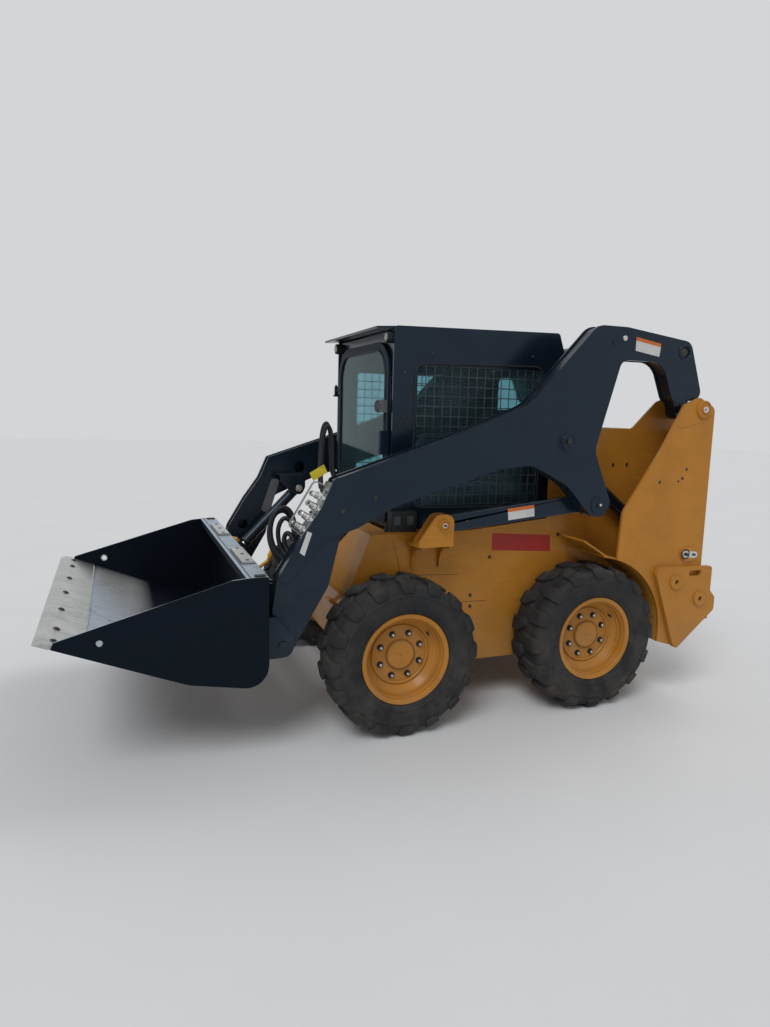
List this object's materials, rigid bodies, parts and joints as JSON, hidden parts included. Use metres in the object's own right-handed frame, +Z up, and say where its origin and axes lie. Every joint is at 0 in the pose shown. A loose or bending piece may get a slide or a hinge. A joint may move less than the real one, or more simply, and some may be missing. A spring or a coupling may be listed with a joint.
{
  "type": "skid steer loader",
  "caption": "Vertical-lift skid steer loader with closed cab, rear towers, dark lift arms, hydraulic cylinders and a low-profile bucket on a quick coupler.",
  "frame": {"origin": "middle of the overall box on the ground under the tyres", "axes": "+X forward along the machine, +Y to the operator's left, +Z up"},
  "size_m": [3.451, 1.68, 2],
  "materials": {
    "painted_yellow": "semi-gloss",
    "painted_black": "semi-gloss",
    "bucket_black": "satin",
    "worn_steel": "worn",
    "chrome_rod": "polished",
    "bright_steel": "satin",
    "cab_glazing": "clear",
    "seat_vinyl": "matte",
    "black_plastic": "matte",
    "lamp_clear": "gloss",
    "lamp_red": "gloss",
    "engine_iron": "cast",
    "tyre_rubber": "matte"
  },
  "bodies": {
    "chassis": {"chassis": "painted_yellow", "axle_housings": "painted_yellow", "tower_left": "painted_yellow", "tower_right": "painted_yellow", "fenders": "painted_yellow", "side_weights": "painted_yellow", "link_brackets": "painted_yellow", "cab_side_left": "painted_black", "cab_side_right": "painted_black", "cab_roof": "painted_black", "cab_rear": "painted_black", "cab_front": "painted_black", "cab_glass": "cab_glazing", "side_screens": "painted_black", "seat_pan": "painted_yellow", "seat": "seat_vinyl", "controls": "black_plastic", "work_lamps": "lamp_clear", "engine": "engine_iron", "tail_lamps": "lamp_red", "rear_bumper": "painted_yellow"},
    "control_links": {"control_links": "painted_black"},
    "rear_links": {"rear_links": "painted_black"},
    "boom": {"arm_left": "painted_black", "arm_right": "painted_black", "arm_tubes": "painted_black", "lobe_pins": "bright_steel", "tilt_brackets": "painted_black", "aux_couplers": "bright_steel"},
    "lift_barrels": {"lift_barrel_left": "painted_black", "lift_barrel_right": "painted_black"},
    "lift_rods": {"lift_rod_left": "chrome_rod", "lift_rod_right": "chrome_rod"},
    "tilt_barrels": {"tilt_barrel_left": "painted_black", "tilt_barrel_right": "painted_black"},
    "tilt_rods": {"tilt_rod_left": "chrome_rod", "tilt_rod_right": "chrome_rod"},
    "bucket": {"bucket": "bucket_black", "bucket_pads": "worn_steel", "cutting_edge": "worn_steel", "coupler": "painted_black", "coupler_levers": "painted_yellow"},
    "cab_door": {"door_frame": "painted_black", "door_glass": "cab_glazing"},
    "lap_bar": {"lap_bar": "painted_black"},
    "rear_door": {"rear_door": "painted_yellow", "rear_grille": "painted_black"},
    "hood": {"hood": "painted_yellow"},
    "wheel_front_left": {"tyre_front_left": "tyre_rubber", "rim_front_left": "painted_yellow"},
    "wheel_front_right": {"tyre_front_right": "tyre_rubber", "rim_front_right": "painted_yellow"},
    "wheel_rear_left": {"tyre_rear_left": "tyre_rubber", "rim_rear_left": "painted_yellow"},
    "wheel_rear_right": {"tyre_rear_right": "tyre_rubber", "rim_rear_right": "painted_yellow"}
  },
  "joints": [
    {"name": "lift_swing", "type": "hinge", "parent": "chassis", "child": "control_links", "pos_m": [-0.0835, 0, 1.003], "axis": [0, 1, 0], "range_deg": [-4.6, 65.37]},
    {"name": "boom_swing", "type": "hinge", "parent": "control_links", "child": "boom", "pos_m": [-0.9315, 0, 1.095], "axis": [0, -1, 0], "range_deg": [-8.87, 125.42]},
    {"name": "rear_link_swing", "type": "hinge", "parent": "chassis", "child": "rear_links", "pos_m": [-1.5525, 0, 1.599], "axis": [0, 1, 0], "range_deg": [-2.09, 29.08]},
    {"name": "lift_barrel_swing", "type": "hinge", "parent": "chassis", "child": "lift_barrels", "pos_m": [-1.5165, 0, 0.81], "axis": [0, -1, 0], "range_deg": [-1.22, 16.61]},
    {"name": "lift_rod_slide", "type": "slide", "parent": "lift_barrels", "child": "lift_rods", "axis": [0.7958, 0, 0.6055], "range_m": [-0.049, 0.6702]},
    {"name": "bucket_tilt", "type": "hinge", "parent": "boom", "child": "bucket", "pos_m": [0.7345, 0, 0.505], "axis": [0, 1, 0], "range_deg": [0, 105]},
    {"name": "tilt_barrel_swing", "type": "hinge", "parent": "boom", "child": "tilt_barrels", "pos_m": [0.3345, 0, 1.06], "axis": [0, 1, 0], "range_deg": [-1.15, 0.05]},
    {"name": "tilt_rod_slide", "type": "slide", "parent": "tilt_barrels", "child": "tilt_rods", "axis": [0.6985, 0, -0.7156], "range_m": [0, 0.2868]},
    {"name": "cab_door_swing", "type": "hinge", "parent": "chassis", "child": "cab_door", "pos_m": [0.1345, -0.436, 1.4], "axis": [0, 0, -1], "range_deg": [0, 95]},
    {"name": "lap_bar_swing", "type": "hinge", "parent": "chassis", "child": "lap_bar", "pos_m": [-0.8155, 0, 1.4], "axis": [0, -1, 0], "range_deg": [0, 75]},
    {"name": "rear_door_swing", "type": "hinge", "parent": "chassis", "child": "rear_door", "pos_m": [-1.6755, -0.522, 0.9], "axis": [0, 0, 1], "range_deg": [0, 100]},
    {"name": "hood_swing", "type": "hinge", "parent": "chassis", "child": "hood", "pos_m": [-0.9955, 0, 1.459], "axis": [0, 1, 0], "range_deg": [0, 45]},
    {"name": "wheel_front_left_spin", "type": "hinge", "parent": "chassis", "child": "wheel_front_left", "pos_m": [0.1455, 0.688, 0.385], "axis": [0, 1, 0], "continuous": true},
    {"name": "wheel_front_right_spin", "type": "hinge", "parent": "chassis", "child": "wheel_front_right", "pos_m": [0.1455, -0.688, 0.385], "axis": [0, 1, 0], "continuous": true},
    {"name": "wheel_rear_left_spin", "type": "hinge", "parent": "chassis", "child": "wheel_rear_left", "pos_m": [-0.9365, 0.688, 0.385], "axis": [0, 1, 0], "continuous": true},
    {"name": "wheel_rear_right_spin", "type": "hinge", "parent": "chassis", "child": "wheel_rear_right", "pos_m": [-0.9365, -0.688, 0.385], "axis": [0, 1, 0], "continuous": true}
  ],
  "couplings": [
    {"joint": "boom_swing", "follows": "lift_swing", "ratio": 1.9178},
    {"joint": "rear_link_swing", "follows": "lift_swing", "ratio": 0.44414},
    {"joint": "lift_barrel_swing", "follows": "lift_swing", "ratio": 0.25335},
    {"joint": "lift_rod_slide", "follows": "lift_swing", "m_per_rad": 0.58569},
    {"joint": "tilt_barrel_swing", "follows": "bucket_tilt", "ratio": -0.01043},
    {"joint": "tilt_rod_slide", "follows": "bucket_tilt", "m_per_rad": 0.15543},
    {"joint": "wheel_rear_left_spin", "follows": "wheel_front_left_spin", "ratio": 1},
    {"joint": "wheel_rear_right_spin", "follows": "wheel_front_right_spin", "ratio": 1}
  ]
}
